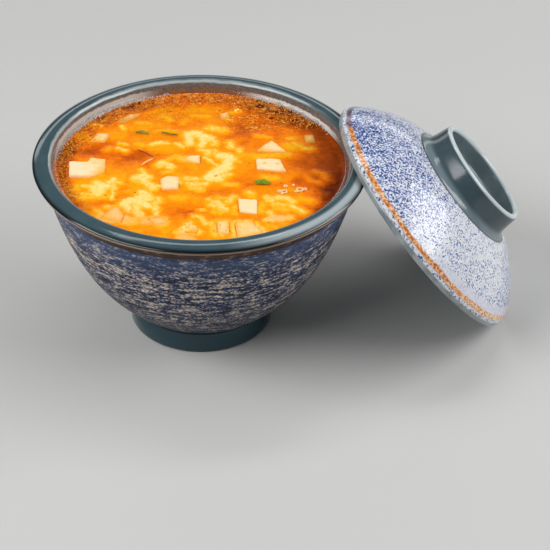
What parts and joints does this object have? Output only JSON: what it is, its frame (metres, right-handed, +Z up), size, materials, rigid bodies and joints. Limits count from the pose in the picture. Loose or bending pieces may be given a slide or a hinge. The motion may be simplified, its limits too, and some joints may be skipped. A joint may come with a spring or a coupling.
{
  "type": "bowl of hot and sour soup",
  "caption": "Footed, glazed soup bowl filled with hot and sour soup with tofu and egg, its domed lid leaning on the rim.",
  "frame": {"origin": "middle of the bounding box of the bowl and its leaning lid, on the surface they stand on", "axes": "+Z up along the bowl's axis, +X from the bowl towards the lid, +Y to the far side of the bowl as pictured"},
  "size_m": [0.2278, 0.1552, 0.0981],
  "materials": {
    "bowl_glaze": "glazed stoneware, mottled blue and beige with teal-grey rim and foot",
    "lid_glaze": "glazed stoneware, speckled blue and white with teal-grey ring",
    "broth": "clear orange broth, glossy, with egg curds",
    "tofu": "smooth moist tofu",
    "slices": "pale cooked slices under a film of broth"
  },
  "bodies": {
    "root": {"bowl": "bowl_glaze", "lid": "lid_glaze", "soup": "broth", "tofu_01": "tofu", "tofu_02": "tofu", "tofu_03": "tofu", "tofu_04": "tofu", "tofu_05": "tofu", "tofu_06": "tofu", "tofu_07": "tofu", "tofu_08": "tofu", "tofu_09": "tofu", "tofu_10": "tofu", "tofu_11": "tofu", "tofu_12": "tofu", "tofu_13": "tofu", "slice_01": "slices", "slice_02": "slices"}
  },
  "joints": []
}
